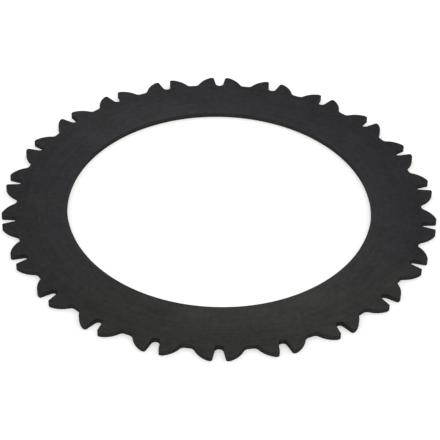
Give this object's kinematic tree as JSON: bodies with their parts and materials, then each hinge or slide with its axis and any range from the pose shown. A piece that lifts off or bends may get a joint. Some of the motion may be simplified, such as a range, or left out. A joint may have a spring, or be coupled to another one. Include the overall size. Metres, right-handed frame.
{
  "type": "gear wheel",
  "caption": "Flat steel ring gear with a plain round bore and split lobes round its rim, each slotted into a pair of prongs.",
  "frame": {"origin": "centre of the bore at the wheel's bottom face", "axes": "+Z along the bore's axis; +Y through the middle of a slot, +X through the middle of a valley"},
  "size_m": [0.2128, 0.2138, 0.003],
  "materials": {
    "blackened_steel": "satin"
  },
  "bodies": {
    "root": {"toothed_ring": "blackened_steel"}
  },
  "joints": []
}
